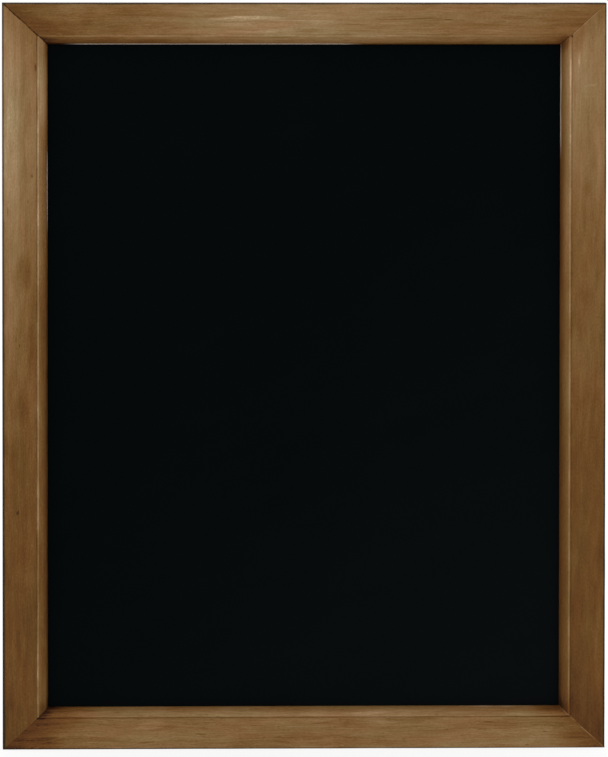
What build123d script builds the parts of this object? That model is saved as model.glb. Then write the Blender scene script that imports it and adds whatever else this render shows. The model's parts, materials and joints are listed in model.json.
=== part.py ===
"""A framed slate writing board.

The slate and its backing board lie in the rebate of a mitred wooden moulding. Turn buttons hold them in
from behind, and two D-rings hang the board on a wall. Sizes are in millimetres. Seen from the front, which
faces -Y, +X is to the right and +Z is up. The origin is the middle of the bottom edge, half way through
the moulding.
"""

import os
from typing import NamedTuple

from build123d import *

# Overall size
board_width = 400.0
board_height = 495.0

# Moulding section of the stiles, from the outer edge to the sight edge; the rails' is narrower in proportion
stile_width = 30.0
rail_width = 27.5
moulding_depth = 18.0
outer_arris = 0.8
back_arris = 0.5
quirk_width = 1.0
quirk_depth = 0.9
ovolo_width = 6.7
ovolo_set_back = 0.15
ovolo_bulge = 1.3
lip_thickness = 3.0
rebate_width = 6.0

# Slate and backing board
slate_thickness = 4.0
slate_arris = 0.4
backing_thickness = 3.0
backing_recess = 0.2
panel_play = 1.5

# V-nails across each mitre
nail_leg = 5.5
nail_thickness = 0.6
nail_height = 10.0
nail_set = 0.4
nail_first = 6.0
nail_pitch = 8.0

# Wood screws
screw_diameter = 3.0
screw_length = 12.0
screw_shank_sides = 8
screw_head_diameter = 6.0
screw_head_height = 2.0
slot_width = 0.9
slot_depth = 1.1
pilot_clearance = 0.05
pilot_tip_room = 0.5

# Turn buttons
button_thickness = 1.0
button_pivot_radius = 5.0
button_tip_radius = 3.2
button_reach = 14.0
button_rib_length = 6.0
button_rib_width = 2.4
button_rib_rise = 0.5
button_rib_edge = 0.35
button_bore_clearance = 0.08
button_gap = 0.1
button_setback = 8.5
stile_button_inset = 95.0
rail_button_inset = 115.0

# D-ring hangers
hanger_height = 345.0
strap_width = 10.0
strap_thickness = 1.0
strap_end_radius = 4.5
strap_tail = 5.0
ring_screw_gap = 1.2
strap_screw_pitch = 10.0
strap_bore_clearance = 0.2
ring_wire_diameter = 2.2
ring_wire_sides = 8
ring_half_width = 8.0
ring_drop = 12.5
ring_corner_radius = 2.5
ring_bow_radius = 7.5
ring_strap_gap = 0.3
eye_clearance = 0.08

# Rubber wall bumpers
bumper_diameter = 10.0
bumper_height = 6.0
bumper_inset = 35.0

# Directions and planes that the pieces share
rightward = Vector(1, 0, 0)
backward = Vector(0, 1, 0)
upward = Vector(0, 0, 1)
left = -board_width / 2
right = board_width / 2
front = -moulding_depth / 2
back = moulding_depth / 2

# Sizes that follow from those above
rebate_depth = slate_thickness + backing_thickness + backing_recess
rebate_floor = back - rebate_depth
rail_share = rail_width / stile_width
stile_wall = stile_width - rebate_width
rail_wall = stile_wall * rail_share
panel_width = board_width - 2 * stile_wall - panel_play
panel_height = board_height - 2 * rail_wall - panel_play
button_seat = button_gap + button_thickness + button_gap
ring_radius = ring_wire_diameter / 2
eye_inner_radius = ring_radius + eye_clearance
eye_outer_radius = eye_inner_radius + strap_thickness
eye_height = strap_thickness + ring_strap_gap + ring_radius
strap_first_screw = ring_drop + ring_radius + ring_screw_gap + screw_head_diameter / 2
strap_length = strap_first_screw + strap_screw_pitch + strap_tail


class Member(NamedTuple):
    """One length of moulding: its outer front corner, its direction, and the way in to the slate.

    The width is its own, the meeting width that of the two members it is mitred to.
    """

    start: Vector
    along: Vector
    inward: Vector
    length: float
    width: float
    meeting_width: float
    rebate_wall: float
    button_distance: float
    end_names: tuple

    def button_places(self):
        """Each turn button's end name and the point on the front plane that its pivot lies behind."""
        distances = (self.button_distance, self.length - self.button_distance)
        inset = self.rebate_wall - button_setback
        return [
            (end, self.start + self.along * distance + self.inward * inset)
            for end, distance in zip(self.end_names, distances)
        ]


stile = (board_height, stile_width, rail_width, stile_wall, stile_button_inset)
rail = (board_width, rail_width, stile_width, rail_wall, rail_button_inset)
members = {
    "left_stile": Member(Vector(left, front, 0), upward, rightward, *stile, ("lower", "upper")),
    "top_rail": Member(Vector(left, front, board_height), rightward, -upward, *rail, ("left", "right")),
    "right_stile": Member(
        Vector(right, front, board_height), -upward, -rightward, *stile, ("upper", "lower")
    ),
    "bottom_rail": Member(Vector(right, front, 0), -rightward, upward, *rail, ("right", "left")),
}

corners = {
    "top_left": (left, board_height, rightward, -upward),
    "top_right": (right, board_height, -rightward, -upward),
    "bottom_left": (left, 0, rightward, upward),
    "bottom_right": (right, 0, -rightward, upward),
}

hanger_places = {"left": left + stile_wall / 2, "right": right - stile_wall / 2}
bumper_places = {"left": left + bumper_inset, "right": right - bumper_inset}


def on_back(x, z, height=0.0, x_dir=rightward):
    """A plane on the back of the frame, facing backward; with the usual x_dir, its y runs down."""
    return Plane(origin=(x, back + height, z), x_dir=x_dir, z_dir=backward)


def save(piece, name):
    """Labels a finished piece and writes it."""
    piece.part.label = name
    export_step(piece.part, f"parts/{name}.step")


def moulding_section(width):
    """A member's section: x runs from the outer edge to the sight edge, y from the face to the back."""
    share = width / stile_width
    ovolo_start = (width - ovolo_width * share, ovolo_set_back)
    quirk_start = width - (ovolo_width + quirk_width) * share
    rebate_wall = width - rebate_width * share
    rebate_front = moulding_depth - rebate_depth
    sight_edge = (width, rebate_front - lip_thickness)
    with BuildSketch() as section:
        with BuildLine():
            Polyline(
                sight_edge,
                (width, rebate_front),
                (rebate_wall, rebate_front),
                (rebate_wall, moulding_depth),
                (0, moulding_depth),
                (0, 0),
                (quirk_start, 0),
                (quirk_start + quirk_width * share / 2, quirk_depth),
                ovolo_start,
            )
            SagittaArc(ovolo_start, sight_edge, -ovolo_bulge)
        make_face()
        outer_edge = section.vertices().group_by(Axis.X)[0].sort_by(Axis.Y)
        fillet(outer_edge[0], outer_arris)
        chamfer(outer_edge[-1], back_arris)
    return section.sketch


def nail_pair(x, z, across, vertical, top, depth):
    """Two chevrons astride one mitre, a leg in the rail and a leg in the stile, driven in from top."""
    corner = Plane(origin=(x, back - top, z), x_dir=across, z_dir=across.cross(vertical))
    with BuildPart() as nails:
        with BuildSketch(corner):
            for in_stile in (nail_first, nail_first + nail_pitch):
                with Locations((in_stile, in_stile * rail_share)):
                    Rectangle(nail_leg, nail_thickness, align=Align.MIN)
                    Rectangle(nail_thickness, nail_leg, align=Align.MIN)
        extrude(amount=depth, dir=-backward)
    return nails


def pan_head_screw():
    """A slotted screw along Z, the underside of its head at the origin."""
    with BuildPart() as screw:
        with BuildSketch():
            RegularPolygon(screw_diameter / 2, screw_shank_sides)
        extrude(amount=-screw_length)
        with BuildSketch():
            Circle(screw_head_diameter / 2)
        extrude(amount=screw_head_height)
        with BuildSketch(Plane.XY.offset(screw_head_height)):
            Rectangle(screw_head_diameter, slot_width)
        extrude(amount=-slot_depth, mode=Mode.SUBTRACT)
    return screw.part


def turn_button(pivot):
    """A stamped tab with a pivot hole and a stiffening rib; pivot is the plane of its underside."""
    tip_centre = button_reach - button_tip_radius
    with BuildPart() as button:
        with BuildSketch(pivot):
            Circle(button_pivot_radius)
            with Locations((tip_centre, 0)):
                Circle(button_tip_radius)
            make_hull()
            Circle(screw_diameter / 2 + button_bore_clearance, mode=Mode.SUBTRACT)
        extrude(amount=button_thickness)
        with BuildSketch(pivot.offset(button_thickness)):
            with Locations((tip_centre, 0)):
                Rectangle(button_rib_length, button_rib_width, align=(Align.MAX, Align.CENTER))
        extrude(amount=button_rib_rise)
        chamfer(button.faces().sort_by(Axis.Y)[-1].edges(), button_rib_edge)
    return button


def hanger_strap(x):
    """A strap rolled into an eye at its top, flat on the frame below it, with two screw holes."""
    section_plane = Plane(origin=(x, back, hanger_height), x_dir=-upward, z_dir=rightward)
    with BuildPart() as strap:
        with BuildSketch(section_plane):
            Rectangle(strap_length, strap_thickness, align=Align.MIN)
            with Locations((0, eye_height)):
                Circle(eye_outer_radius)
                Circle(eye_inner_radius, mode=Mode.SUBTRACT)
        extrude(amount=strap_width / 2, both=True)
        fillet(strap.edges().filter_by(Axis.Y).group_by(Axis.Z)[0], strap_end_radius)
        with BuildSketch(on_back(x, hanger_height)):
            with Locations((0, strap_first_screw), (0, strap_first_screw + strap_screw_pitch)):
                Circle(screw_diameter / 2 + strap_bore_clearance)
        extrude(amount=strap_thickness, mode=Mode.SUBTRACT)
    return strap


def hanger_ring(x):
    """A D-ring of wire, its straight bar in the strap's eye and its bow hanging down."""
    with BuildPart() as ring:
        with BuildLine(on_back(x, hanger_height, eye_height)):
            path = FilletPolyline(
                (-ring_half_width, 0),
                (ring_half_width, 0),
                (ring_half_width, ring_drop),
                (-ring_half_width, ring_drop),
                radius=(ring_corner_radius, ring_corner_radius, ring_bow_radius, ring_bow_radius),
                close=True,
            )
        with BuildSketch(Plane(origin=path @ 0, z_dir=path % 0)):
            RegularPolygon(ring_radius, ring_wire_sides, rotation=180 / ring_wire_sides)
        sweep(path=path)
    return ring


def wall_bumper(x):
    """A round rubber buffer standing on the back of the bottom rail."""
    with BuildPart() as bumper:
        with BuildSketch(on_back(x, rail_wall / 2)):
            Circle(bumper_diameter / 2)
        extrude(amount=bumper_height)
    return bumper


os.makedirs("parts", exist_ok=True)

# V-nails, and the slots that they leave in the wood
nail_slots = []
for name, corner in corners.items():
    save(nail_pair(*corner, top=nail_set, depth=nail_height), f"corner_v_nails_{name}")
    nail_slots.append(nail_pair(*corner, top=0, depth=nail_set + nail_height).part)

# Where the screws go into the back of the frame
button_pilots = [
    on_back(place.X, place.Z) for member in members.values() for _, place in member.button_places()
]
hanger_pilots = [
    on_back(x, hanger_height - strap_first_screw - step)
    for x in hanger_places.values()
    for step in (0, strap_screw_pitch)
]

# Frame members
pilot_radius = screw_diameter / 2 + pilot_clearance
for name, member in members.items():
    far_end = member.start + member.along * member.length
    with BuildPart() as moulding:
        with BuildSketch(Plane(origin=member.start, x_dir=member.inward, z_dir=member.along)):
            add(moulding_section(member.width))
        extrude(amount=member.length)
        for end, away in ((member.start, member.along), (far_end, -member.along)):
            mitre = away * member.width - member.inward * member.meeting_width
            split(bisect_by=Plane(origin=end, z_dir=mitre), keep=Keep.TOP)
        add(nail_slots, mode=Mode.SUBTRACT)
        with Locations(*button_pilots):
            Hole(pilot_radius, screw_length - button_seat + pilot_tip_room)
        with Locations(*hanger_pilots):
            Hole(pilot_radius, screw_length - strap_thickness + pilot_tip_room)
    save(moulding, f"frame_{name}")

# Slate and backing board, standing on the bottom rail's rebate
panel_middle = rail_wall + panel_height / 2
with BuildPart() as slate:
    with BuildSketch(Plane.XZ.offset(-rebate_floor)):
        with Locations((0, panel_middle)):
            Rectangle(panel_width, panel_height)
    extrude(amount=slate_thickness, dir=backward)
    chamfer(slate.edges(), slate_arris)
save(slate, "slate_panel")

with BuildPart() as backing:
    with BuildSketch(Plane.XZ.offset(-rebate_floor - slate_thickness)):
        with Locations((0, panel_middle)):
            Rectangle(panel_width, panel_height)
    extrude(amount=backing_thickness, dir=backward)
save(backing, "backing_board")

# Turn buttons
for name, member in members.items():
    side = name.split("_")[0]
    for end, place in member.button_places():
        pivot = on_back(place.X, place.Z, button_gap, member.inward)
        save(turn_button(pivot), f"turn_button_{side}_{end}")

# Hangers
for side, x in hanger_places.items():
    save(hanger_strap(x), f"hanger_strap_{side}")
    save(hanger_ring(x), f"hanger_ring_{side}")

# Screws
screw = pan_head_screw()
with BuildPart() as button_screws:
    with Locations(*[pilot.offset(button_seat) for pilot in button_pilots]):
        add(screw)
save(button_screws, "turn_button_screws")

with BuildPart() as hanger_screws:
    with Locations(*[pilot.offset(strap_thickness) for pilot in hanger_pilots]):
        add(screw)
save(hanger_screws, "hanger_screws")

# Wall bumpers
for side, x in bumper_places.items():
    save(wall_bumper(x), f"wall_bumper_{side}")
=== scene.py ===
import json
from math import acos, ceil, cos, pi, radians, sin, sqrt, tan, tau

import bmesh
import bpy
from mathutils import Matrix, Vector, noise


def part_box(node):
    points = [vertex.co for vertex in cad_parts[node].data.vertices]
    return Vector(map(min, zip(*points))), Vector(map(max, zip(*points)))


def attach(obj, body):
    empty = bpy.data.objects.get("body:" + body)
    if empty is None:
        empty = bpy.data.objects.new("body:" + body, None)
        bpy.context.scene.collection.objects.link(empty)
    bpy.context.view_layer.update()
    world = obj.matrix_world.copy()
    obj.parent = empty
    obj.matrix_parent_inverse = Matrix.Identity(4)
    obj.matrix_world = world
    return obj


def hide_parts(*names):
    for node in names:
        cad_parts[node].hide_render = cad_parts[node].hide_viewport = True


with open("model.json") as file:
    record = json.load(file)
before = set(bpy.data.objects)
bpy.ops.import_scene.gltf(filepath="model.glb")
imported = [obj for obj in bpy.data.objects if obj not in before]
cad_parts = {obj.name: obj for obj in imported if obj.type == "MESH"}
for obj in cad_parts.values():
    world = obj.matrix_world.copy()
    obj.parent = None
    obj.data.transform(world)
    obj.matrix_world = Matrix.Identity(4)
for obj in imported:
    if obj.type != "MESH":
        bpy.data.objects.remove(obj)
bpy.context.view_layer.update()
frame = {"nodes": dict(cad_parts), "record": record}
print("stage: frame loaded,", len(frame["nodes"]), "CAD nodes")

mm = 0.001
backward = Vector((0, 1, 0))  # the board faces -Y

# the board's edges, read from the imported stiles
leftLow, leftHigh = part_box("frame_left_stile")
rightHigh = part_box("frame_right_stile")[1]
left, right = leftLow.x, rightHigh.x
front, back = leftLow.y, leftHigh.y
bottom, top = leftLow.z, leftHigh.z
topLow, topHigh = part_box("frame_top_rail")
stileWidth = leftHigh.x - leftLow.x
railWidth = topHigh.z - topLow.z
mouldingDepth = back - front
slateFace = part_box("slate_panel")[0].y

down, rightward = Vector((0, 0, -1)), Vector((1, 0, 0))
stileSizes = {"length": top - bottom, "width": stileWidth, "meetingWidth": railWidth}
railSizes = {"length": right - left, "width": railWidth, "meetingWidth": stileWidth}


# a member's outer front corner, the way it runs (down or to the right) and the way in to the slate
def memberFrom(x, z, along, inward, sizes):
    return {"corner": Vector((x, front, z)), "along": along, "inward": inward, **sizes}


members = {
    "left_stile": memberFrom(left, top, down, rightward, stileSizes),
    "right_stile": memberFrom(right, top, down, -rightward, stileSizes),
    "top_rail": memberFrom(left, top, rightward, down, railSizes),
    "bottom_rail": memberFrom(left, bottom, rightward, -down, railSizes),
}

# the places that the turn buttons and the rings turn about
joints = frame["record"]["behaviour"]["joints"]
pivots = {joint["child"]: Vector(joint["pos_m"]) for joint in joints}
buttonPivots = {body: place for body, place in pivots.items() if body.startswith("turn_button")}
ringPivots = {body: place for body, place in pivots.items() if body.startswith("hanger_ring")}


# a shader socket that takes part in sums: each operator adds a Math node
class Value:
    def __init__(self, paint, socket):
        self.paint = paint
        self.socket = socket

    def __add__(self, other):
        return self.paint.math("ADD", self, other)

    __radd__ = __add__

    def __sub__(self, other):
        return self.paint.math("SUBTRACT", self, other)

    def __rsub__(self, other):
        return self.paint.math("SUBTRACT", other, self)

    def __mul__(self, other):
        return self.paint.math("MULTIPLY", self, other)

    __rmul__ = __mul__

    def __truediv__(self, other):
        return self.paint.math("DIVIDE", self, other)

    def __rtruediv__(self, other):
        return self.paint.math("DIVIDE", other, self)

    def __abs__(self):
        return self.paint.math("ABSOLUTE", self)


# a Mix node's sockets for colours
mixFactor, mixFirst, mixSecond, mixResult = 0, 6, 7, 2


# one material and the nodes that are added to it
class Paint:
    def __init__(self, name):
        self.material = bpy.data.materials.new(name)
        self.material.use_nodes = True
        self.nodes = self.material.node_tree.nodes
        self.links = self.material.node_tree.links
        self.nodes.clear()

    # any node: its settings are set first, then its sockets take values or links
    def node(self, kind, settings, sockets, out=0):
        made = self.nodes.new(kind)
        for name, setting in settings.items():
            if name == "stops":
                self.setStops(made.color_ramp.elements, setting)
            elif name == "blending":
                made.color_ramp.interpolation = setting
            else:
                setattr(made, name, setting)
        for name, given in sockets.items():
            if isinstance(given, Value):
                self.links.new(given.socket, made.inputs[name])
            else:
                made.inputs[name].default_value = given
        return Value(self, made.outputs[out]) if made.outputs else None

    def setStops(self, elements, stops):
        while len(elements) < len(stops):
            elements.new(1.0)
        for element, (place, colour) in zip(elements, stops):
            element.position = place
            element.color = colour

    def math(self, operation, *terms):
        return self.node("ShaderNodeMath", {"operation": operation}, dict(enumerate(terms)))

    def vector(self, operation, first, second, out="Vector"):
        settings = {"operation": operation}
        return self.node("ShaderNodeVectorMath", settings, {0: first, 1: second}, out)

    def point(self, x, y, z):
        return self.node("ShaderNodeCombineXYZ", {}, {"X": x, "Y": y, "Z": z})

    def mix(self, first, second, factor):
        sockets = {mixFactor: factor, mixFirst: first, mixSecond: second}
        return self.node("ShaderNodeMix", {"data_type": "RGBA"}, sockets, mixResult)

    # a smooth step between two values
    def fade(self, value, start, end):
        settings = {"interpolation_type": "SMOOTHSTEP"}
        sockets = {"Value": value, "From Min": start, "From Max": end}
        return self.node("ShaderNodeMapRange", settings, sockets)

    # a soft band about a middle value
    def band(self, value, middle, half):
        return self.fade(abs(value - middle), half, 0.0)

    def ramp(self, value, stops, blending="LINEAR"):
        settings = {"stops": stops, "blending": blending}
        return self.node("ShaderNodeValToRGB", settings, {"Fac": value})

    def noise(self, place, detail=3.0, distortion=0.0, roughness=0.5):
        sockets = {"Vector": place, "Scale": 1.0, "Detail": detail}
        sockets.update({"Roughness": roughness, "Distortion": distortion})
        return self.node("ShaderNodeTexNoise", {"noise_dimensions": "3D"}, sockets)

    # noise with so many cells to the millimetre, the same every way or a number for each axis
    def noiseAt(self, place, cells, **looks):
        scale = cells if isinstance(cells, tuple) else (cells,) * 3
        return self.noise(self.vector("MULTIPLY", place, scale), **looks)

    # the object's own place, in millimetres of the shared frame
    def place(self):
        here = self.node("ShaderNodeTexCoord", {}, {}, out="Object")
        return self.vector("MULTIPLY", here, (1 / mm,) * 3)

    # how far a place lies along each axis
    def split(self, place, axes=Matrix.Identity(3)):
        return [self.vector("DOT_PRODUCT", place, axis, out="Value") for axis in axes]

    def bump(self, height, distance):
        return self.node("ShaderNodeBump", {}, {"Height": height, "Distance": distance})

    def surface(self, **sockets):
        named = {name.replace("_", " "): given for name, given in sockets.items()}
        shader = self.node("ShaderNodeBsdfPrincipled", {}, named)
        self.node("ShaderNodeOutputMaterial", {}, {"Surface": shader})
        return self.material


# a screen colour of 0 to 255 as the linear colour that nodes use
def screen(red, green, blue):
    def linear(level):
        level /= 255
        return level / 12.92 if level <= 0.04045 else ((level + 0.055) / 1.055) ** 2.4

    return (linear(red), linear(green), linear(blue), 1.0)


def grey(level):
    return (level, level, level, 1.0)


usualSharpAngle = 40  # degrees


# makes a mesh from a filled bmesh, smooth but for edges sharper than the given angle
def finishMesh(name, bm, sharpAngle=usualSharpAngle):
    bmesh.ops.recalc_face_normals(bm, faces=bm.faces)
    mesh = bpy.data.meshes.new(name)
    bm.to_mesh(mesh)
    bm.free()
    smoothMesh(mesh, sharpAngle)
    return mesh


def smoothMesh(mesh, sharpAngle=usualSharpAngle):
    mesh.polygons.foreach_set("use_smooth", [True] * len(mesh.polygons))
    mesh.set_sharp_from_angle(angle=radians(sharpAngle))


def setMaterial(mesh, material):
    mesh.materials.clear()
    mesh.materials.append(material)


def addObject(name, data):
    made = bpy.data.objects.new(name, data)
    bpy.context.scene.collection.objects.link(made)
    return made


# a piece that rides on a body and stands in for a CAD node
def addPiece(name, mesh, material, body, node):
    piece = addObject(name, mesh)
    setMaterial(mesh, material)
    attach(piece, body)
    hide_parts(node)


def paintNode(node, material):
    setMaterial(frame["nodes"][node].data, material)


# the point of a circle about the origin at an angle in radians
def circlePoint(turned, radius):
    return Vector((radius * cos(turned), radius * sin(turned)))


# an arc about a centre; angle_signed runs clockwise in the plane
def arcPoints(centre, start, end, steps):
    first = start - centre
    span = first.angle_signed(end - centre)
    return [centre + Matrix.Rotation(-span * step / steps, 2) @ first for step in range(steps + 1)]


# the arc that eases a corner of an outline
def easeCorner(before, corner, after, radius, steps):
    toBefore = (before - corner).normalized()
    toAfter = (after - corner).normalized()
    halfTurn = toBefore.angle(toAfter) / 2
    reach = radius / tan(halfTurn)
    centre = corner + (toBefore + toAfter).normalized() * (radius / sin(halfTurn))
    return arcPoints(centre, corner + toBefore * reach, corner + toAfter * reach, steps)


# an outline of (point, radius) corners, closed, with its corners eased
def easeOutline(corners, steps=4):
    points = []
    for index, (corner, radius) in enumerate(corners):
        if radius:
            before = corners[index - 1][0]
            after = corners[(index + 1) % len(corners)][0]
            points += easeCorner(before, corner, after, radius, steps)
        else:
            points.append(corner)
    return points


# adds points to long straight runs of a closed outline
def divideRuns(points, longest):
    divided = []
    for index, point in enumerate(points):
        following = points[(index + 1) % len(points)]
        pieces = max(1, ceil((following - point).length / longest))
        divided += [point.lerp(following, step / pieces) for step in range(pieces)]
    return divided


# a solid skinned over rings of points: a row that is closed at its ends, or a loop
def skin(rings, loop=False, bm=None):
    bm = bm or bmesh.new()
    made = [[bm.verts.new(point) for point in ring] for ring in rings]
    for first, second in zip(made, made[1:] + (made[:1] if loop else [])):
        for index, corner in enumerate(first):
            following = (index + 1) % len(first)
            bm.faces.new((corner, first[following], second[following], second[index]))
    for end in () if loop else (made[0], made[-1]):
        bm.faces.new(end)
    return bm


moulding = dict(
    quirkWidth=1 * mm, quirkDepth=0.9 * mm,
    ovoloWidth=6.7 * mm, ovoloSetBack=0.15 * mm, ovoloBulge=1.3 * mm, ovoloSteps=14,
    lipThickness=3 * mm, rebateWidth=6 * mm,
    arris=0.9 * mm, backArris=0.5 * mm, fineArris=0.12 * mm,
    crown=0.3 * mm, lipArris=0.45 * mm,
    longestRun=2.6 * mm, ringStep=3.2 * mm,
    hairlineDepth=0.14 * mm, hairlineWidth=0.12 * mm,  # the mitre's eased edge
    wear=0.05 * mm, arrisWear=0.16 * mm, wearLength=26 * mm,
    wearAcross=90, wearDeep=60,  # cells of unevenness to the metre
)


# a member's section: x in from the outer edge, y back from the face
# the rails' is narrower in proportion
def mouldingSection(width, quirkFill):
    m = moulding
    share = width / stileWidth
    crownStart = Vector((width - m["ovoloWidth"] * share, m["ovoloSetBack"]))
    rebateFront = slateFace - front
    sightEdge = Vector((width, rebateFront - m["lipThickness"]))
    quirkStart = crownStart.x - m["quirkWidth"] * share
    rebateWall = width - m["rebateWidth"] * share
    chord = sightEdge - crownStart
    outward = Vector((chord.y, -chord.x)).normalized()
    bulge = m["ovoloBulge"]
    radius = (chord.length ** 2 / 4 + bulge ** 2) / (2 * bulge)
    centre = crownStart + chord / 2 - outward * (radius - bulge)
    ovolo = arcPoints(centre, crownStart, sightEdge, m["ovoloSteps"])[1:-1]
    quirkFloor = Vector(((quirkStart + crownStart.x) / 2, m["quirkDepth"] * (1 - quirkFill)))
    corners = [
        (Vector((0, mouldingDepth)), m["backArris"]),
        (Vector((0, 0)), m["arris"]),
        (Vector((quirkStart, 0)), m["fineArris"]),
        (quirkFloor, m["fineArris"]),
        (crownStart, m["crown"]),
        *((point, 0) for point in ovolo),
        (sightEdge, m["lipArris"]),
        (Vector((width, rebateFront)), m["fineArris"]),
        (Vector((rebateWall, rebateFront)), 0),
        (Vector((rebateWall, mouldingDepth)), m["fineArris"]),
    ]
    return divideRuns(easeOutline(corners), m["longestRun"])


def outlineNormals(points):
    count = len(points)
    runs = [points[(index + 1) % count] - points[index - 1] for index in range(count)]
    return [Vector((run.y, -run.x)).normalized() for run in runs]


nailSlot = dict(apexes=(6 * mm, 14 * mm), leg=5.5 * mm, thickness=0.6 * mm, depth=0.45 * mm)


# L-shaped prisms that open the wood above each V-nail
def nailSlotCutter():
    bm = bmesh.new()
    thick, leg = nailSlot["thickness"], nailSlot["leg"]
    outline = ((0, 0), (leg, 0), (leg, thick), (thick, thick), (thick, leg), (0, leg))
    for side, inX in ((left, 1), (right, -1)):
        for end, inZ in ((bottom, 1), (top, -1)):
            for apex in nailSlot["apexes"]:
                cornerX = side + inX * apex
                cornerZ = end + inZ * apex * railWidth / stileWidth
                rings = [
                    [(cornerX + inX * x, back + depth, cornerZ + inZ * z) for x, z in outline]
                    for depth in (-nailSlot["depth"], nailSlot["depth"])
                ]
                skin(rings, bm=bm)
    return finishMesh("nailSlotCutter", bm)


# what is left of a mesh when a cutter's mesh is taken out of it
def cutAway(mesh, cutterMesh):
    blank, cutter = addObject("blank", mesh), addObject("cutter", cutterMesh)
    cut = blank.modifiers.new("cut", "BOOLEAN")
    cut.operation = "DIFFERENCE"
    cut.solver = "MANIFOLD"
    cut.object = cutter
    evaluated = blank.evaluated_get(bpy.context.evaluated_depsgraph_get())
    solved = bpy.data.meshes.new_from_object(evaluated)
    for piece in (blank, cutter):
        bpy.data.objects.remove(piece)
    smoothMesh(solved)
    return solved


# one length of moulding, mitred at both ends, its edges a little uneven from use
def memberMesh(name, seed, quirkFill):
    m = moulding
    member = members[name]
    length = member["length"]
    section = mouldingSection(member["width"], quirkFill)
    normals = outlineNormals(section)
    mitre = member["meetingWidth"] / member["width"]
    count = round(length / m["ringStep"])
    trueBack = mouldingDepth - m["backArris"]
    trueLip = member["width"] - m["lipArris"]

    def ringAt(share, sunk):
        ring = []
        for point, normal in zip(section, normals):
            setIn = point.x * mitre + (0 if sunk else m["hairlineWidth"])
            run = setIn + (length - 2 * setIn) * share
            onArris = point.x < 2 * m["arris"] and point.y < 2 * m["arris"]
            most = m["arrisWear"] if onArris else m["wear"]
            across, deep = point.x * m["wearAcross"], point.y * m["wearDeep"]
            rough = noise.noise(Vector((run / m["wearLength"], across, seed + deep)))
            sink = most * (0.5 + 0.5 * rough) + (m["hairlineDepth"] if sunk else 0)
            if point.y > trueBack or point.x > trueLip:
                sink = 0  # the back and the lip stay true
            at = point - normal * sink
            spot = member["corner"] + member["along"] * run + member["inward"] * at.x
            ring.append(spot + backward * at.y)
        return ring

    places = [(0, True), *((step / count, False) for step in range(count + 1)), (1, True)]
    return finishMesh(name, skin([ringAt(share, sunk) for share, sunk in places]))


# stain from the darkest to the palest, as it looks in even light
stainStops = [
    (0.00, screen(44, 24, 12)),
    (0.20, screen(83, 53, 25)),
    (0.36, screen(100, 68, 32)),
    (0.50, screen(115, 84, 48)),
    (0.64, screen(128, 99, 65)),
    (0.78, screen(140, 113, 80)),
    (0.92, screen(156, 131, 99)),
    (1.00, screen(182, 157, 124)),
]

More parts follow.
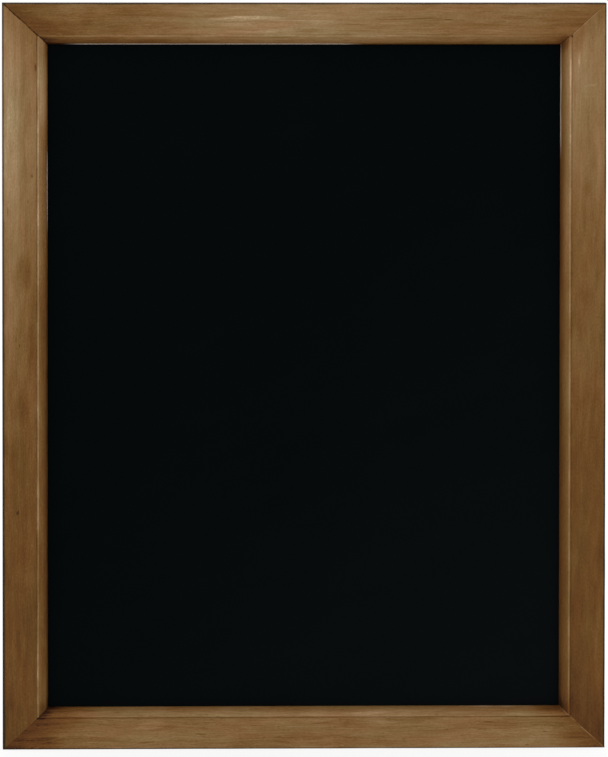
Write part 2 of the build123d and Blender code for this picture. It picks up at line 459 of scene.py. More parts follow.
# how each member's tone runs, from 0 (darkest) to 1 (palest): stain, and on the stiles painted
# shade that darkens them towards the bottom
# pairs are for the start (top or left) and the far end; lengths are in millimetres
# a mark is (run, inset, half length, half width, change of tone)
# the quirk, crown, sight, lip and corner pairs paint light and shade, and the lip's wear span also
# places a painted highlight
woodLooks = {
    "left_stile": dict(
        seed=11.3, grain=0.75, flecks=0.6, waviness=4,
        quirkFill=0.1, rawShift=0.06,
        stainAndShadeTones=[
            (0, 0.68), (0.13, 0.73), (0.25, 0.71), (0.36, 0.57),
            (0.45, 0.49), (0.72, 0.37), (1, 0.36),
        ],
        outerTone=0.14, outerUntil=380,
        endTone=(-0.14, -0.02), endReach=(24, 40), endRed=(0, -0.3),
        mitreTone=(-0.5, 0.1), cornerShade=(0.08, -0.16),
        quirkLightAndShade=(0.02, 0.24), crownHighlight=(0.26, 0.5), crownPlace=(0.5, -0.15),
        ovoloTone=(-0.02, 0.16), sightShade=(-0.44, -0.12), lipShade=(-0.06, -0.16),
        darkEdge=(0.7, 1), edgeWidth=(1.3, 2.4), lipWearAndHighlight=(92, 156, 0.6),
        marks=[
            (138, 3.2, 4, 0.9, -0.22), (114, 19.4, 1.6, 0.8, -0.2), (131, 17, 1.2, 0.7, -0.16),
            (227, 10.4, 1.8, 0.9, -0.2), (337, 9.6, 2, 1.1, -0.22), (41, 22, 3.4, 1, -0.28),
            (26, 19, 1.8, 0.8, -0.14), (80, 5, 60, 3.6, 0.04), (110, 13, 60, 2.6, -0.06),
            (46, 27.4, 50, 5.5, 0.3), (222, 24, 54, 9, -0.08), (178, 14.5, 17, 6.5, -0.13),
            (268, 13, 15, 7, -0.1), (212, 4.5, 42, 4, 0.08), (330, 4, 60, 3.6, 0.07),
        ],
    ),
    "right_stile": dict(
        seed=27.9, grain=0.45, flecks=0.3, waviness=4,
        quirkFill=0.3, rawShift=-0.1,
        stainAndShadeTones=[
            (0, 0.69), (0.13, 0.72), (0.22, 0.57), (0.32, 0.46),
            (0.51, 0.39), (0.73, 0.3), (1, 0.26),
        ],
        outerTone=-0.04, outerUntil=140,
        endTone=(-0.12, -0.08), endReach=(20, 50), endRed=(0.1, 0.1),
        mitreTone=(0.26, 0.28), cornerShade=(-0.18, -0.14),
        quirkLightAndShade=(-0.02, 0.06), crownHighlight=(0.2, 0.3), crownPlace=(0.6, 0.8),
        ovoloTone=(0, 0.16), sightShade=(-0.46, -0.18), lipShade=(0, 0),
        darkEdge=(0.85, 1), edgeWidth=(1.3, 1.8), lipWearAndHighlight=(20, 106, 0.5),
        marks=[
            (38, 24.2, 24, 1.3, 0.12), (20.8, 22.6, 1.4, 1.2, -0.42), (42, 20.5, 14, 1.2, 0.05),
            (150, 26, 40, 4, 0.07), (36, 18, 7, 0.9, 0.16), (70, 17.5, 16, 0.7, 0.07),
            (53.5, 9.5, 0.9, 5, 0.1), (100, 6, 50, 2.5, 0.06), (130, 14, 30, 3, -0.06),
            (64, 21, 12, 1, -0.08), (84, 11.5, 24, 1.6, -0.05), (195, 27, 105, 4.5, 0.1),
            (40, 14.5, 24, 8, 0.08), (110, 4, 18, 3, 0.09), (430, 4, 52, 3.4, 0.09),
        ],
    ),
    "top_rail": dict(
        seed=43.1, grain=1.1, flecks=1, waviness=5,
        quirkFill=0.5, rawShift=-0.04,
        stainAndShadeTones=[
            (0, 0.45), (0.1, 0.46), (0.25, 0.51), (0.36, 0.74),
            (0.55, 0.76), (0.75, 0.53), (1, 0.57),
        ],
        outerTone=-0.03, outerUntil=100,
        endTone=(-0.16, -0.1), endReach=(30, 34), endRed=(0.1, 0.3),
        mitreTone=(-0.48, -0.06), cornerShade=(-0.16, -0.22),
        quirkLightAndShade=(0.08, 0.04), crownHighlight=(0.28, 0.06), crownPlace=(0.6, 0.6),
        ovoloTone=(-0.06, -0.05), sightShade=(-0.1, -0.14), lipShade=(-0.36, 0),
        darkEdge=(0.85, 0.95), edgeWidth=(1.3, 1.4), lipWearAndHighlight=(38, 240, 1.15),
        marks=[
            (160, 11.8, 36, 2.4, 0.22), (174, 19.6, 30, 1.6, 0.14), (150, 16, 26, 1, 0.08),
            (196, 13.5, 30, 1, 0.12), (268, 11, 26, 0.6, -0.2), (262, 9.4, 18, 0.5, -0.14),
            (296, 12.4, 4, 0.7, -0.3), (232, 15.5, 12, 0.6, -0.16), (56, 14, 6, 3, -0.07),
            (205, 20.5, 16, 0.6, -0.12), (164, 26.5, 72, 3.6, -0.06), (304, 17, 44, 7, -0.07),
            (180, 23.8, 70, 1.6, -0.12), (46, 5, 14, 4, 0.11), (92, 6.5, 24, 6, -0.09),
        ],
    ),
    "bottom_rail": dict(
        seed=61.7, grain=1.3, flecks=1.7, waviness=6,
        quirkFill=0.3, rawShift=0.12,
        stainAndShadeTones=[
            (0, 0.42), (0.1, 0.53), (0.25, 0.58), (0.5, 0.54),
            (0.8, 0.66), (1, 0.62),
        ],
        outerTone=0, outerUntil=100,
        endTone=(-0.3, -0.3), endReach=(44, 30), endRed=(0.9, 0.3),
        mitreTone=(0.06, 0.4), cornerShade=(-0.28, 0),
        quirkLightAndShade=(-0.04, -0.14), crownHighlight=(0, 0.04), crownPlace=(0.6, 0.6),
        ovoloTone=(0.13, 0.02), sightShade=(-0.13, -0.22), lipShade=(0, 0),
        darkEdge=(0.9, 0.4), edgeWidth=(1.3, 1), lipWearAndHighlight=(300, 372, 0),
        marks=[
            (24, 23.4, 5, 1.3, -0.26), (132, 11, 6, 0.8, -0.2), (106, 16.5, 14, 0.6, -0.16),
            (96, 5, 8, 0.7, -0.16), (205, 25.6, 12, 1.2, 0.14), (244, 25.8, 22, 1, 0.16),
            (212, 18.6, 8, 0.7, -0.22), (232, 14.5, 20, 0.9, 0.08), (322, 19, 5, 0.6, -0.18),
            (345, 18, 36, 6, -0.12), (158, 26.4, 44, 3.6, 0.07), (226, 17, 40, 5, -0.05),
            (272, 21.5, 22, 3, -0.1), (98, 18, 13, 4.5, 0.13), (372, 9, 12, 10, -0.1),
            (30, 5, 15, 5, -0.08),
        ],
    ),
}

# noise drawn out along a member: a cell's length and width in millimetres, its place in the noise,
# and any detail and distortion
grainLayers = dict(
    blotch=(70, 16, 3),
    mottle=(17, 4.5, 5),
    wave=(46, 10, 7, 1.0),
    bands=(150, 2.6, 9, 2.0),
    fineGrain=(22, 0.7, 13),
    ripple=(6, 0.8, 15, 2.0, 1.4),
    fibre=(7, 0.22, 17, 2.0),
    pores=(1.7, 0.9, 19, 2.0),
    flecks=(5.5, 0.6, 23, 1.0),
    fleckPatch=(30, 8, 29, 1.0),
    cast=(48, 9, 31),
    mitreGaps=(7, 7, 37),
)

# layers' amounts, in tone; a fade is (starts at, ends at) in millimetres or in a layer's own levels
# a wander is how far a layer moves a limit, in millimetres
wood = dict(
    blotch=0.26, mottle=0.26, bands=0.20, fineGrain=0.28,
    ripple=0.20, pores=0.25, fibre=0.08, flecks=0.20,
    bandWander=8, fleckFade=(0.14, 0.26), fleckPatchFade=(-0.06, 0.10),
    outerFade=(16, 8), outerFull=0.4, outerMiddle=0.4,
    markWander=(10, 2.0),  # along, across
    # half width, even share and mottled share of a line
    quirkLine=(0.7, 0.8, 4), crownHighlightLine=(0.95, 0.95, 1.4),
    quirkAt=-0.5, ovoloFade=(-0.2, 0.8), sightStart=0.5,  # from the crown
    sightEnd=1.5, lipFade=(-1.3, -0.6), wornFade=(-0.62, -0.38),  # from the sight edge
    sightWander=2, wornDepthFade=(10.8, 10.2), wornRunIn=20, wornGrain=2,
    castSwing=2.4, castMiddle=0.4,
    endWander=26, cornerWander=12, cornerFade=(9, 0.0), cornerShadeRed=0.4,
    mitreWander=1.1, mitreFade=(1.0, 0.1), mitreGapFade=(-0.18, 0.06),
    jointWander=0.3, jointFade=(0.34, 0.08), jointStain=0.75,
    sideTone=-0.22, sideFade=(0.75, 0.15),
    sideArrisTone=-0.34, sideArrisFade=(10.0, 1.0), sideWander=(8, 6),  # blotch, bands
    edgeWander=0.8, edgeCore=0.6, edgeDepthFade=(2.6, 0.9),
    rawDepthFade=(17.2, 17.8), rawEdgeFade=(1.0, 3.4), rawWander=(5, 7),  # grain, blotch
    rawTone=0.5, rawBands=0.9, rawFineGrain=0.8, rawFibre=0.5, rawFlecks=0.4,
    roughness=0.52, grainRough=0.12, rawRough=0.25, specular=0.05,
    fibreDepth=0.035 * mm, fibreRelief=0.8, fleckRelief=0.7,
    redTint=(1.05, 0.93, 0.89), oliveTint=(0.98, 1.02, 0.96),
    # the near-black painted on the outer arris, and the lip's pale line, wear and a painted
    # highlight
    darkEdge=screen(36, 31, 19), wornLipHighlight=screen(200, 182, 166),
    rawWood=screen(176, 142, 98), rawDark=screen(140, 104, 64),
)


def woodPaint(name):
    look, w = woodLooks[name], wood
    member = members[name]
    paint = Paint("stainedWood_" + name)
    length = member["length"] / mm
    fromCorner = paint.vector("SUBTRACT", paint.place(), member["corner"] / mm)
    run, inset, depth = paint.split(fromCorner, (member["along"], member["inward"], backward))
    inset *= stileWidth / member["width"]  # in the stile's millimetres from here on
    share = run / length

    # a pair's value at this place along the member
    def along(setting):
        start, far = look[setting]
        return start + share * (far - start)

    # one of the fades above, counted from the given place
    def faded(value, setting, origin=0.0):
        start, end = w[setting]
        return paint.fade(value, origin + start, origin + end)

    def drawn(layer, across=inset):
        longMm, wideMm, at, *looks = grainLayers[layer]
        acrossCells = across / wideMm + look["seed"]
        place = paint.point(run / longMm + at, acrossCells, depth / wideMm + at)
        return paint.noise(place, *looks) - 0.5

    blotch = drawn("blotch")
    mottle = drawn("mottle")
    pores = drawn("pores")
    waved = inset + drawn("wave") * look["waviness"]
    bands = drawn("bands", waved + blotch * w["bandWander"])
    fineGrain, ripple, fibre = (drawn(layer, waved) for layer in ("fineGrain", "ripple", "fibre"))
    fleckPatch = faded(drawn("fleckPatch"), "fleckPatchFade")
    flecks = faded(drawn("flecks", waved), "fleckFade") * fleckPatch

    # painted shade and stain: the stiles' tones fall from top to bottom, as the light fell on them;
    # the rest is stain that varies
    tone = paint.ramp(share, [(at, grey(level)) for at, level in look["stainAndShadeTones"]], "B_SPLINE")
    grain = bands * w["bands"] + fineGrain * w["fineGrain"] + ripple * w["ripple"]
    tone = tone + blotch * w["blotch"] + mottle * w["mottle"] + grain * look["grain"]
    tone = tone + pores * w["pores"] + fibre * w["fibre"]
    tone -= flecks * w["flecks"] * look["flecks"]
    outerRun = paint.fade(run, look["outerUntil"], look["outerUntil"] * w["outerFull"])
    outerHalf = faded(inset, "outerFade") * outerRun
    tone += (outerHalf - w["outerMiddle"]) * look["outerTone"]

    # marks in the grain, on a slightly wandering place
    wanderAlong, wanderAcross = w["markWander"]
    markRun = run + blotch * wanderAlong
    markInset = waved + bands * wanderAcross
    for markAt, markIn, halfLong, halfWide, change in look["marks"]:
        ahead = (markRun - markAt) / halfLong
        aside = (markInset - markIn) / halfWide
        tone += paint.fade(ahead * ahead + aside * aside, 1.0, 0.0) * change

    # a line along the moulding, broken up by the mottle
    def brokenLine(setting, middle):
        half, even, mottled = w[setting]
        return paint.band(inset, middle, half) * (even + mottle * mottled)

    # painted light and shade in the quirk, a painted highlight on the crown, and painted shade that
    # darkens the ovolo towards the sight edge
    crownAt = (stileWidth - moulding["ovoloWidth"]) / mm
    sightAt = stileWidth / mm
    ovolo = faded(inset, "ovoloFade", crownAt)
    # painted light and shade in the quirk groove: lifted against the groove's own shadow, darker on
    # the bottom rail
    tone += brokenLine("quirkLine", crownAt + w["quirkAt"]) * along("quirkLightAndShade")
    # painted highlight along the crown's rounded edge
    tone += brokenLine("crownHighlightLine", crownAt + along("crownPlace")) * along("crownHighlight")
    tone += ovolo * along("ovoloTone")
    # painted shade: the ovolo darkens towards the sight edge as it turns away from the light
    sightStart, sightEnd = crownAt + w["sightStart"], sightAt + w["sightEnd"]
    towardsSightShade = paint.fade(inset + mottle * w["sightWander"], sightStart, sightEnd)
    tone += towardsSightShade * along("sightShade")
    # painted shadow: a dark band over the last millimetre before the sight edge
    tone += faded(inset, "lipFade", sightAt) * along("lipShade")

    # ends by the mitres, painted shade on the ovolos by the corners, and the uneven mitre lines
    # themselves
    setIn = inset * (member["meetingWidth"] / stileWidth)
    uneven = faded(drawn("mitreGaps"), "mitreGapFade")
    red = drawn("cast") * w["castSwing"] + w["castMiddle"]
    jointLine = 0.0
    for end, gap in enumerate((run - setIn, length - setIn - run)):
        nearEnd = paint.fade(gap + blotch * w["endWander"], look["endReach"][end], 0.0)
        # painted shade, a little red, on the ovolo near each corner
        nearCornerShade = faded(gap + mottle * w["cornerWander"], "cornerFade") * ovolo
        onMitre = faded(gap + pores * w["mitreWander"], "mitreFade") * uneven
        tone = tone + nearEnd * look["endTone"][end] + nearCornerShade * look["cornerShade"][end]
        tone += onMitre * look["mitreTone"][end]
        red = red + nearEnd * look["endRed"][end] + nearCornerShade * w["cornerShadeRed"]
        jointLine += faded(gap + pores * w["jointWander"], "jointFade")

    # the sides are painted darker, most of all by the front arris
    sideBlotch, sideBands = w["sideWander"]
    sideArris = faded(depth + blotch * sideBlotch + bands * sideBands, "sideArrisFade")
    sideTone = w["sideTone"] + sideArris * w["sideArrisTone"]
    tone += faded(inset, "sideFade") * sideTone

    # stain of two casts, the outer arris painted near-black, and a pale line on the lip: wear and a
    # painted highlight
    colour = paint.ramp(tone, stainStops)
    for tint, amount in (("oliveTint", 1 - red), ("redTint", red)):
        colour = paint.mix(colour, paint.vector("MULTIPLY", colour, w[tint]), amount)
    # the outer arris painted near-black
    mottledInset = inset + mottle * w["edgeWander"]
    arris = paint.fade(mottledInset, along("edgeWidth"), w["edgeCore"])
    arris *= faded(depth + mottle, "edgeDepthFade")
    colour = paint.mix(colour, w["darkEdge"], arris * along("darkEdge"))
    # a pale line on the lip's edge: wear and a painted highlight
    lipFrom, lipTo, lipShare = look["lipWearAndHighlight"]
    runIn = w["wornRunIn"]
    wornRun = paint.fade(run, lipFrom, lipFrom + runIn) * paint.fade(run, lipTo, lipTo - runIn)
    wornLipHighlight = faded(inset, "wornFade", sightAt) * faded(depth, "wornDepthFade") * wornRun
    wornShare = lipShare + fineGrain * w["wornGrain"]
    colour = paint.mix(colour, w["wornLipHighlight"], wornLipHighlight * wornShare)

    # the back was left raw, with stain that ran over the edge
    rawGrain, rawBlotch = w["rawWander"]
    ragged = fineGrain * rawGrain + blotch * rawBlotch
    rawBack = faded(depth, "rawDepthFade") * faded(inset + ragged, "rawEdgeFade")
    rawTone = w["rawTone"] + look["rawShift"] + bands * w["rawBands"]
    rawTone = rawTone + fineGrain * w["rawFineGrain"] + fibre * w["rawFibre"]
    rawTone -= flecks * w["rawFlecks"]
    raw = paint.mix(w["rawDark"], w["rawWood"], rawTone)
    raw = paint.mix(raw, w["darkEdge"], jointLine * w["jointStain"])
    colour = paint.mix(colour, raw, rawBack)

    roughness = w["roughness"] + fineGrain * w["grainRough"]
    relief = fineGrain + fibre * w["fibreRelief"] - flecks * w["fleckRelief"]
    return paint.surface(
        Base_Color=colour,
        Roughness=roughness + rawBack * w["rawRough"],
        Specular_IOR_Level=w["specular"],
        Normal=paint.bump(relief, w["fibreDepth"]),
    )


print("stage: frame members")
nailSlots = nailSlotCutter()
for name in members:
    look = woodLooks[name]
    mesh = cutAway(memberMesh(name, look["seed"], look["quirkFill"]), nailSlots)
    addPiece(name + "_moulding", mesh, woodPaint(name), "board", "frame_" + name)


slate = dict(
    face=screen(3, 6.5, 7.5), haze=screen(9.5, 12.5, 13.5),
    roughness=0.74, cloudRough=0.12, specular=0.016,
    tooth=0.02 * mm,
    cloudCells=(1 / 90, 1 / 90, 1 / 120), toothCells=2.2,
    wipeLong=60, wipeLean=210, wipeWide=16, wipeSlope=40,  # millimetres to a cell
    rightShare=0.5, lowShare=0.6, lowRightFade=(-200, 60),
    lowRightHaze=0.7, cloudHaze=0.5, wipedHaze=0.3, toothHaze=0.3,
)


# near-black slate with a thin, cloudy chalk haze, and a paler tone painted low on the right
def slatePaint():
    s = slate
    paint = Paint("slateFace")
    place = paint.place()
    x, y, z = paint.split(place)
    cloud = paint.noiseAt(place, s["cloudCells"], detail=4.0)
    tooth = paint.noiseAt(place, s["toothCells"], detail=2.0)
    wipeAlong = x / s["wipeLong"] + z / s["wipeLean"]
    wipeAcross = z / s["wipeWide"] - x / s["wipeSlope"]
    wiped = paint.noise(paint.point(wipeAlong, y, wipeAcross), detail=3.0)
    # paler towards the lower right
    lowRight = paint.fade(x * s["rightShare"] - z * s["lowShare"], *s["lowRightFade"])
    haze = lowRight * s["lowRightHaze"] + (cloud - 0.5) * s["cloudHaze"]
    haze = haze + (wiped - 0.5) * s["wipedHaze"] + (tooth - 0.5) * s["toothHaze"]
    return paint.surface(
        Base_Color=paint.mix(s["face"], s["haze"], haze),
        Roughness=s["roughness"] + (cloud - 0.5) * s["cloudRough"],
        Specular_IOR_Level=s["specular"],
        Normal=paint.bump(tooth + cloud, s["tooth"]),
    )


hardboard = dict(
    pale=screen(138, 100, 62), deep=screen(92, 62, 38),
    fibreCells=(1.1, 1.1, 0.35), cloudCells=0.03, screenPitch=1.6,
    shade=0.5, fibreShade=1.6, cloudShade=0.45, weaveShade=0.12,
    roughness=0.78, fibreRough=0.2, rubRough=0.2, specular=0.2,
    relief=0.12 * mm, weaveRelief=0.5,
    rubRadius=11.0,  # of the arcs under the turn buttons' tips
    rubHalfWidth=3.0, rubLineFade=(0.45, 0.7), rubShade=0.55,
    rubLines=2.4,  # to the millimetre
)


# the rough side of hardboard: felted fibres over the print of its pressing screen
def hardboardPaint():
    h = hardboard
    paint = Paint("hardboardBack")
    place = paint.place()
    x, _, z = paint.split(place)
    fibres = paint.noiseAt(place, h["fibreCells"], detail=5.0, roughness=0.65, distortion=0.6)
    cloud = paint.noiseAt(place, h["cloudCells"], detail=3.0)
    turn = tau / h["screenPitch"]
    weave = paint.math("SINE", x * turn) * paint.math("SINE", z * turn)
    shade = h["shade"] + (fibres - 0.5) * h["fibreShade"] + (cloud - 0.5) * h["cloudShade"]
    shade += weave * h["weaveShade"]
    rubbed = 0.0
    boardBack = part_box("backing_board")[1].y
    for pivot in buttonPivots.values():
        middle = Vector((pivot.x, boardBack, pivot.z)) / mm
        away = paint.vector("DISTANCE", place, middle, out="Value")
        linePlace = paint.point(away * h["rubLines"], pivot.x / mm, pivot.z / mm)
        lines = paint.fade(paint.noise(linePlace, detail=2.0), *h["rubLineFade"])
        rubbed += paint.band(away, h["rubRadius"], h["rubHalfWidth"]) * lines
    shade += rubbed * h["rubShade"]
    roughness = h["roughness"] + (fibres - 0.5) * h["fibreRough"]
    return paint.surface(
        Base_Color=paint.mix(h["deep"], h["pale"], shade),
        Roughness=roughness - rubbed * h["rubRough"],
        Specular_IOR_Level=h["specular"],
        Normal=paint.bump(fibres + weave * h["weaveRelief"], h["relief"]),
    )


print("stage: panels")
paintNode("slate_panel", slatePaint())
paintNode("backing_board", hardboardPaint())


# pale colour, deep colour, roughness and cells to the millimetre of each metal
metals = dict(
    nickel=(screen(196, 193, 184), screen(142, 138, 128), 0.30, 0.9),
    ringSteel=(screen(188, 186, 180), screen(128, 126, 121), 0.24, 1.3),
    screwSteel=(screen(186, 180, 160), screen(112, 106, 92), 0.34, 1.6),
    nailSteel=(screen(126, 122, 116), screen(74, 68, 62), 0.46, 2.0),
)

metalWear = dict(
    cloudCells=0.3, fineCells=5,  # times the metal's own
    scratchAcross=(7, 6, 5), scratchAlong=0.35, scratchFade=(0.60, 0.72),
    spotCells=1.7, spotFade=(0.64, 0.74),
    lustre=0.55, cloudLustre=1.6, spotLustre=0.45,
    cloudRough=0.22, scratchRough=0.14, spotRough=0.2,
    relief=0.012 * mm, fineRelief=0.6,
)


# plated steel: cloudy lustre, fine handling scratches, dull spots
def metalPaint(name):
    w = metalWear
    pale, deep, roughness, cells = metals[name]
    paint = Paint(name)
    place = paint.place()
    x, y, z = paint.split(place)
    cloud = paint.noiseAt(place, cells * w["cloudCells"], detail=4.0)
    fine = paint.noiseAt(place, cells * w["fineCells"], detail=2.0)
    byX, byY, byZ = w["scratchAcross"]
    scratchPlace = paint.point(x * byX + z * byZ, y * byY, (z - x) * w["scratchAlong"])
    scratches = paint.fade(paint.noise(scratchPlace, detail=2.0), *w["scratchFade"])
    spots = paint.fade(paint.noiseAt(place, w["spotCells"], detail=2.0), *w["spotFade"])
    lustre = w["lustre"] + (cloud - 0.5) * w["cloudLustre"] - spots * w["spotLustre"]
    roughness += (cloud - 0.5) * w["cloudRough"]
    roughness = roughness + scratches * w["scratchRough"] + spots * w["spotRough"]
    return paint.surface(
        Base_Color=paint.mix(deep, pale, lustre),
        Roughness=roughness,
        Metallic=1.0,
        Normal=paint.bump(fine * w["fineRelief"] - scratches, w["relief"]),
    )


nickelPaint = metalPaint("nickel")
nailPaint = metalPaint("nailSteel")
for corner in ("top_left", "top_right", "bottom_left", "bottom_right"):
    paintNode("corner_v_nails_" + corner, nailPaint)


tab = dict(
    pivotRadius=5 * mm, tipRadius=3.2 * mm, reach=14 * mm, bore=1.58 * mm,
    thickness=1 * mm, edge=0.28 * mm,
    backEdge=0.4,  # share of the edge
    rollAngles=(30, 60, 90),  # degrees
    ribFrom=5.9 * mm, ribTo=9.7 * mm, ribHalfWidth=1.2 * mm, ribRise=0.5 * mm,
    ribTop=0.35,  # share of the half width
    outlinePoints=96, rings=14,
)


# points spread evenly round the hull of the pivot's and the tip's circles
def tabOutline():
    pivot, tip, count = tab["pivotRadius"], tab["tipRadius"], tab["outlinePoints"]
    tipCentre = tab["reach"] - tip
    lean = acos((pivot - tip) / tipCentre)
    tipArc = tip * lean
    side = sqrt(tipCentre ** 2 - (pivot - tip) ** 2)
    pivotArc = pivot * (pi - lean)
    whole = 2 * (tipArc + side + pivotArc)

    def tipPoint(turned):
        return Vector((tipCentre, 0)) + circlePoint(turned, tip)

    def upperPoint(walked):
        if walked < tipArc:
            return tipPoint(walked / tip)
        if walked < tipArc + side:
            return tipPoint(lean).lerp(circlePoint(lean, pivot), (walked - tipArc) / side)
        return circlePoint(lean + (walked - tipArc - side) / pivot, pivot)

    points = []
    for index in range(count):
        walked = whole * index / count
        point = upperPoint(min(walked, whole - walked))
        points.append(point if walked <= whole / 2 else Vector((point.x, -point.y)))
    return points


def smoothStep(value, start, end):
    share = min(max((value - start) / (end - start), 0), 1)
    return share * share * (3 - 2 * share)


# a stamped tab in its own frame: x along it, y across it, z off the frame's back
def tabMesh():
    t = tab
    outline = tabOutline()

    def ribHeight(point):
        nearest = Vector((min(max(point.x, t["ribFrom"]), t["ribTo"]), 0))
        away = (point - nearest).length / t["ribHalfWidth"]
        return t["ribRise"] * smoothStep(away, 1, t["ribTop"])

    def ringAt(share, sink, height, withRib=False):
        ring = []
        for index, edge in enumerate(outline):
            hole = circlePoint(tau * index / len(outline), t["bore"])
            point = hole.lerp(edge - edge.normalized() * sink, share)
            rise = ribHeight(point) if withRib else 0
            ring.append((point.x, point.y, height + rise))
        return ring

    edge, thick = t["edge"], t["thickness"]
    rings = [ringAt(step / t["rings"], edge, thick, True) for step in range(t["rings"] + 1)]
    for lean in map(radians, t["rollAngles"]):  # rolled over the outer edge
        sink, drop = edge * (1 - sin(lean)), edge * (1 - cos(lean))
        rings.append(ringAt(1, sink, thick - drop))
    low = t["backEdge"] * edge
    rings += [ringAt(1, 0, low), ringAt(1, low, 0), ringAt(0, low, 0)]
    return skin(rings, loop=True)


# copies of one mesh at several places, as one mesh
def placedMesh(name, bm, places, sharpAngle=usualSharpAngle):
    template = finishMesh("template", bm)
    joined = bmesh.new()
    for place in places:
        copy = template.copy()
        copy.transform(place)
        joined.from_mesh(copy)
        bpy.data.meshes.remove(copy)
    bpy.data.meshes.remove(template)
    return finishMesh(name, joined, sharpAngle)


# a frame on the board's back: its x runs the given way, its z off the back
def onBack(x, y, z, forward):
    across = backward.cross(forward)
    turn = Matrix((forward, across, backward)).transposed().to_4x4()
    return Matrix.Translation((x, y, z)) @ turn


print("stage: turn buttons")
inwardOf = {"left": rightward, "right": -rightward, "top": down, "bottom": -down}
for button, pivot in buttonPivots.items():
    forward = inwardOf[button.split("_")[2]]
    mesh = placedMesh(button, tabMesh(), [onBack(*pivot, forward)])
    addPiece(button + "_tab", mesh, nickelPaint, button, button)


screw = dict(
    headRadius=3 * mm, headHeight=2 * mm, rim=0.7 * mm, headEdge=0.15 * mm,
    domeAngles=(80, 66, 52, 38, 25, 12, 0),  # degrees
    headUnder=0.95,  # share of the head's radius
    shankRadius=1.5 * mm, tipRadius=0.1 * mm, length=12 * mm, neck=3 * mm,
    ridgeRoot=0.72,  # share of the shank's radius
    ridges=7, pitch=1.2 * mm,
    slotWidth=0.9 * mm, slotDepth=1.1 * mm,
    sides=40, sharpAngle=30,
    turns=(12, 75, 140, 33, 101, 160, 58, 88, 20, 118, 64, 149),  # of each slot, in degrees
)


# a turned profile of (radius, height), closed at both ends
def turnedMesh(profile, sides):
    angles = [tau * side / sides for side in range(sides)]
    return skin([
        [(*circlePoint(angle, radius), height) for angle in angles] for radius, height in profile
    ])


# a domed head over a rim, a plain neck and a pointed, ridged shank
def screwMesh():
    s = screw
    head, shank, pitch = s["headRadius"], s["shankRadius"], s["pitch"]
    profile = []
    for lean in map(radians, s["domeAngles"]):
        height = s["rim"] + (s["headHeight"] - s["rim"]) * sin(lean)
        profile.append((head * cos(lean), height))
    profile += [(head, s["headEdge"]), (s["headUnder"] * head, 0), (shank, 0)]
    for turn in range(s["ridges"]):
        height = -s["neck"] - turn * pitch
        profile += [(shank, height), (s["ridgeRoot"] * shank, height - pitch / 2)]
    profile.append((s["tipRadius"], -s["length"]))
    solid = finishMesh("screwBlank", turnedMesh(profile, s["sides"]))
    bar = bmesh.new()
    bmesh.ops.create_cube(bar, size=1)
    size = Vector((4 * head, s["slotWidth"], 2 * s["slotDepth"]))
    bmesh.ops.transform(bar, matrix=Matrix.Diagonal(size.to_4d()), verts=bar.verts)
    bmesh.ops.translate(bar, vec=(0, 0, s["headHeight"]), verts=bar.verts)
    bm = bmesh.new()
    bm.from_mesh(cutAway(solid, finishMesh("slotBar", bar)))
    return bm


print("stage: screws")
screwPaint = metalPaint("screwSteel")
turns = iter(screw["turns"])


# a screw in each seat, its slot turned its own way, as one mesh
def screwSet(name, seats):
    places = []
    for seat in seats:
        turn = Matrix.Rotation(radians(next(turns)), 4, "Z")
        places.append(onBack(*seat, rightward) @ turn)
    return placedMesh(name, screwMesh(), places, screw["sharpAngle"])


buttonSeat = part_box("turn_button_screws")[1].y - screw["headHeight"]
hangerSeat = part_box("hanger_screws")[1].y - screw["headHeight"]
seats = [Vector((pivot.x, buttonSeat, pivot.z)) for pivot in buttonPivots.values()]
mesh = screwSet("buttonScrews", seats)
addPiece("turn_button_screw_set", mesh, screwPaint, "board", "turn_button_screws")


strap = dict(
    width=10 * mm, thickness=1 * mm, edge=0.2 * mm,
    endRadius=4.5 * mm, endSteps=11,
    firstScrew=17.8 * mm, screwPitch=10 * mm, tail=5 * mm,
    flatEnd=3.4 * mm,  # from the eye's axis
    flatSteps=8, riseSteps=4,
    eyeRadius=1.68 * mm,  # to the middle of the rolled sheet
    rollFrom=-90,  # degrees
    rollBy=292, rollSteps=26,
)


# the middle of the sheet, as points with half widths: rounded end, flat, rise and rolled eye
def strapPath(eyeHeight):
    p = strap
    length = p["firstScrew"] + p["screwPitch"] + p["tail"]
    half, halfWidth = p["thickness"] / 2, p["width"] / 2
    radius, flatEnd = p["endRadius"], p["flatEnd"]
    path = []
    for step in range(p["endSteps"] + 1):
        x, y = circlePoint(pi / 2 * step / p["endSteps"], radius)
        path.append((Vector((length - radius + x, half)), halfWidth - radius + y))
    roundEnd = path[-1][0].x
    for step in range(1, p["flatSteps"] + 1):
        x = roundEnd + (flatEnd - roundEnd) * step / p["flatSteps"]
        path.append((Vector((x, half)), halfWidth))
    rise = eyeHeight - p["eyeRadius"] - half
    for step in range(1, p["riseSteps"] + 1):
        share = step / p["riseSteps"]
        height = half + rise * smoothStep(share, 0, 1)
        path.append((Vector((flatEnd * (1 - share), height)), halfWidth))
    for step in range(1, p["rollSteps"] + 1):
        turned = radians(p["rollFrom"] - p["rollBy"] * step / p["rollSteps"])
        path.append((Vector((0, eyeHeight)) + circlePoint(turned, p["eyeRadius"]), halfWidth))
    return path


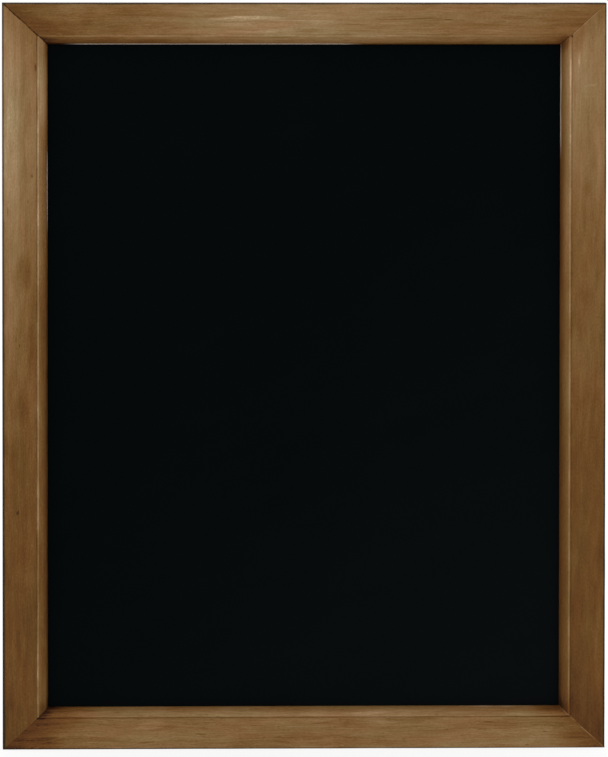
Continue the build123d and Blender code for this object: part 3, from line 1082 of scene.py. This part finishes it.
# a strap rolled into an eye: x down the strap from the eye's axis, y across, z off the back
def strapMesh(eyeHeight):
    half = strap["thickness"] / 2
    eased = half - strap["edge"]
    path = strapPath(eyeHeight)
    rings = []
    for index, (point, halfWidth) in enumerate(path):
        before = path[max(index - 1, 0)][0]
        after = path[min(index + 1, len(path) - 1)][0]
        run = (after - before).normalized()
        normal = Vector((-run.y, run.x))
        inner = halfWidth - strap["edge"]
        outline = (
            (-halfWidth, -eased), (-inner, -half), (inner, -half), (halfWidth, -eased),
            (halfWidth, eased), (inner, half), (-inner, half), (-halfWidth, eased),
        )
        spots = [(point + normal * off, across) for across, off in outline]
        rings.append([(at.x, across, at.y) for at, across in spots])
    return skin(rings)


ringWire = dict(
    radius=1.1 * mm, halfWidth=8 * mm, drop=12.5 * mm,
    cornerRadius=2.5 * mm, bowRadius=7.5 * mm,
    bendSteps=14, sides=16,
)


# a bent wire D: x down from the bar, y across, z off the back
def ringMesh():
    w = ringWire
    half, drop = w["halfWidth"], w["drop"]
    corner, bow = w["cornerRadius"], w["bowRadius"]
    corners = [
        (Vector((0, -half)), corner), (Vector((0, half)), corner),
        (Vector((drop, half)), bow), (Vector((drop, -half)), bow),
    ]
    path = easeOutline(corners, w["bendSteps"])
    rings = []
    for point, outward in zip(path, outlineNormals(path)):
        ring = []
        for side in range(w["sides"]):
            off, up = circlePoint(tau * side / w["sides"], w["radius"])
            ring.append((*(point + outward * off), up))
        rings.append(ring)
    return skin(rings, loop=True)


print("stage: hangers")
ringPaint = metalPaint("ringSteel")
strapSeats = []
for ring, eye in ringPivots.items():
    side = ring.split("_")[2]
    node = "hanger_strap_" + side
    mesh = placedMesh(ring, ringMesh(), [onBack(*eye, down)])
    addPiece(ring + "_wire", mesh, ringPaint, ring, ring)
    place = onBack(eye.x, back, eye.z, down)
    mesh = placedMesh("strap_" + side, strapMesh(eye.y - back), [place])
    addPiece(node + "_plate", mesh, nickelPaint, "board", node)
    for step in (0, strap["screwPitch"]):
        strapSeats.append(Vector((eye.x, hangerSeat, eye.z - strap["firstScrew"] - step)))
mesh = screwSet("hangerScrews", strapSeats)
addPiece("hanger_screw_set", mesh, screwPaint, "board", "hanger_screws")


bumper = dict(
    colour=screen(34, 33, 32), dust=screen(66, 62, 56),
    dustCells=0.7, dustFade=(0.45, 0.75), pitCells=6, pitDepth=0.03 * mm,
    roughness=0.62, dustRough=0.3, specular=0.35,
    taper=0.7 * mm, edge=0.9 * mm,
    rollAngles=(90, 68, 45, 22, 0),  # degrees
    skirt=0.3 * mm, skirtHeight=0.9 * mm,
    dish=0.3 * mm, hub=0.2 * mm, sides=48,
)


def rubberPaint():
    b = bumper
    paint = Paint("bumperRubber")
    place = paint.place()
    dust = paint.noiseAt(place, b["dustCells"], detail=4.0, roughness=0.6)
    pits = paint.noiseAt(place, b["pitCells"], detail=2.0)
    return paint.surface(
        Base_Color=paint.mix(b["colour"], b["dust"], paint.fade(dust, *b["dustFade"])),
        Roughness=b["roughness"] + (dust - 0.5) * b["dustRough"],
        Specular_IOR_Level=b["specular"],
        Normal=paint.bump(pits, b["pitDepth"]),
    )


# a turned rubber buffer, tapered, with a rolled edge and a shallow dish in its face
def bumperMesh(radius, height):
    b = bumper
    faceRadius = radius - b["taper"]
    roll = []
    for lean in map(radians, b["rollAngles"]):
        sink, drop = b["edge"] * (1 - sin(lean)), b["edge"] * (1 - cos(lean))
        roll.append((faceRadius - sink, height - drop))
    profile = [
        (b["hub"], 0), (radius - b["skirt"], 0), (radius, b["skirt"]), (radius, b["skirtHeight"]),
        *roll,
        (faceRadius / 2, height - b["dish"] / 2), (b["hub"], height - b["dish"]),
    ]
    return turnedMesh(profile, b["sides"])


print("stage: bumpers")
rubber = rubberPaint()
for side in ("left", "right"):
    node = "wall_bumper_" + side
    low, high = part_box("wall_bumper_" + side)
    middle = (low + high) / 2
    bm = bumperMesh((high.x - low.x) / 2, high.y - low.y)
    mesh = placedMesh("bumper_" + side, bm, [onBack(middle.x, low.y, middle.z, rightward)])
    addPiece(node + "_buffer", mesh, rubber, "board", node)


studio = dict(
    floorHalf=90.0, floorDrop=0.1 * mm,
    floorColour=grey(0.20), floorGlow=0.81, floorRough=0.9,
    skyStrength=1.0,
    lights=[  # place, size, power
        ((-2.2, -4.2, 2.6), 2.6, 15.0),
        ((2.4, -4.4, 2.2), 2.6, 9.0),
        ((0.6, 4.0, 2.8), 2.4, 30.0),
    ],
    aim=(0.0, 0.0, 0.25),
)


def addFloor():
    bm = bmesh.new()
    bmesh.ops.create_grid(bm, x_segments=1, y_segments=1, size=studio["floorHalf"])
    bmesh.ops.translate(bm, vec=(0, 0, bottom - studio["floorDrop"]), verts=bm.verts)
    mesh = bpy.data.meshes.new("floor")
    bm.to_mesh(mesh)
    bm.free()
    floor = addObject("floor", mesh)
    mesh.materials.append(Paint("paleFloor").surface(
        Base_Color=studio["floorColour"],
        Roughness=studio["floorRough"],
        Specular_IOR_Level=0.0,
        Emission_Color=grey(1.0),
        Emission_Strength=studio["floorGlow"],
    ))


def addLights():
    world = bpy.data.worlds.new("studio")
    bpy.context.scene.world = world
    world.use_nodes = True
    sky = world.node_tree.nodes["Background"]
    sky.inputs["Color"].default_value = grey(1.0)
    sky.inputs["Strength"].default_value = studio["skyStrength"]
    for index, (place, size, power) in enumerate(studio["lights"]):
        lamp = bpy.data.lights.new("softbox" + str(index), "AREA")
        lamp.shape = "DISK"
        lamp.size = size
        lamp.energy = power
        light = addObject(lamp.name, lamp)
        light.location = place
        towardsBoard = Vector(studio["aim"]) - light.location
        light.rotation_euler = towardsBoard.to_track_quat("-Z", "Y").to_euler()


view = dict(
    yaw=2.5, pitch=3.5, roll=0.053,
    distance=6.0, lens=430.71, clipEnd=500,
    lookX=-0.38 * mm, lookZ=246.35 * mm,
)


# nearly square on, a little from the left and from above
def addCamera():
    yaw, pitch = radians(view["yaw"]), radians(view["pitch"])
    target = Vector((view["lookX"], front, view["lookZ"]))
    level = cos(pitch)
    away = Vector((-sin(yaw) * level, -cos(yaw) * level, sin(pitch)))
    lens = bpy.data.cameras.new("camera")
    lens.lens = view["lens"]
    lens.clip_end = view["clipEnd"]
    camera = addObject("camera", lens)
    camera.location = target + away * view["distance"]
    roll = Matrix.Rotation(radians(view["roll"]), 3, "Z").to_quaternion()
    camera.rotation_mode = "QUATERNION"
    camera.rotation_quaternion = (-away).to_track_quat("-Z", "Y") @ roll
    bpy.context.scene.camera = camera


print("stage: studio")
addFloor()
addLights()
addCamera()
bpy.context.scene.view_settings.view_transform = "Standard"
